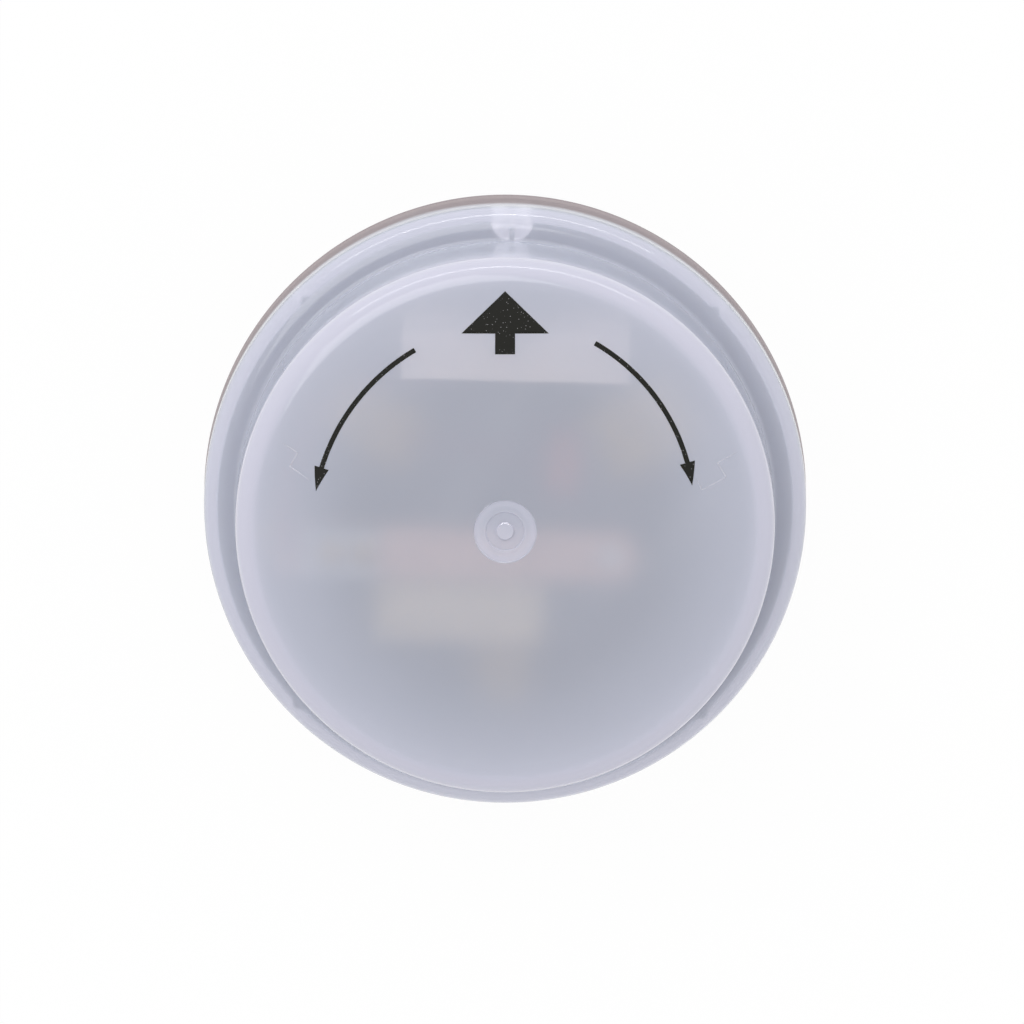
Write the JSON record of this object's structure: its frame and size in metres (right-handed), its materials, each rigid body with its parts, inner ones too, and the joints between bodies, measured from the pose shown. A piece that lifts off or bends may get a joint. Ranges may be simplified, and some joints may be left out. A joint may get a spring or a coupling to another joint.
{
  "type": "photocell switch",
  "caption": "Round plug-in photocell switch for outdoor lamps: translucent stepped cover over a twist-lock base, with a heated bimetal contact inside.",
  "frame": {"origin": "centre of the gasket face that lies on the lamp's socket", "axes": "+Z out of the domed face, +Y towards the side that faces north, the photocell's side"},
  "size_m": [0.0752, 0.0752, 0.0511],
  "materials": {
    "cover_polypropylene": "milky translucent, glossy moulded",
    "phenolic": "moulded, dark brown",
    "foam_rubber": "closed-cell foam",
    "blade_brass": "stamped",
    "rivet_brass": "turned",
    "plated_steel": "zinc plated",
    "fibre_board": "laminated fibre",
    "bimetal": "rolled strip",
    "contact_silver": "pressed silver",
    "heater_ceramic": "unglazed",
    "tinned_copper": "tinned wire",
    "arrester_epoxy": "dipped epoxy",
    "bracket_plastic": "moulded",
    "cell_ceramic": "sintered layer under clear coating",
    "wire_red": "extruded",
    "wire_black": "extruded",
    "wire_white": "extruded"
  },
  "bodies": {
    "housing": {"cover": "cover_polypropylene", "base_plate": "phenolic", "gasket": "foam_rubber", "line_blade": "blade_brass", "load_blade": "blade_brass", "neutral_blade": "blade_brass", "blade_rivets": "rivet_brass", "strip_post": "plated_steel", "post_rivet": "rivet_brass", "stack_insulators": "fibre_board", "compensating_strip": "bimetal", "clamp_plate": "plated_steel", "stack_rivets": "rivet_brass", "fixed_contact": "contact_silver", "calibration_screw": "rivet_brass", "heater_resistor": "heater_ceramic", "heater_leads": "tinned_copper", "surge_arrester": "arrester_epoxy", "arrester_leads": "tinned_copper", "cell_bracket": "bracket_plastic", "photocell": "cell_ceramic", "photocell_leads": "tinned_copper", "line_wire": "wire_red", "load_wire": "wire_black", "cell_wire": "wire_red", "heater_wire": "wire_white", "neutral_wire": "wire_white", "surge_wire": "wire_red"},
    "contact_arm": {"bimetal_strip": "bimetal", "moving_contact": "contact_silver"}
  },
  "joints": [
    {"name": "bimetal_flex", "type": "hinge", "parent": "housing", "child": "contact_arm", "pos_m": [-0.01517, -0.005, 0.0183], "axis": [0, -1, 0], "range_deg": [0, 3], "stiffness_Nm_per_rad": 0.05, "deforming": ["bimetal_strip"]}
  ]
}
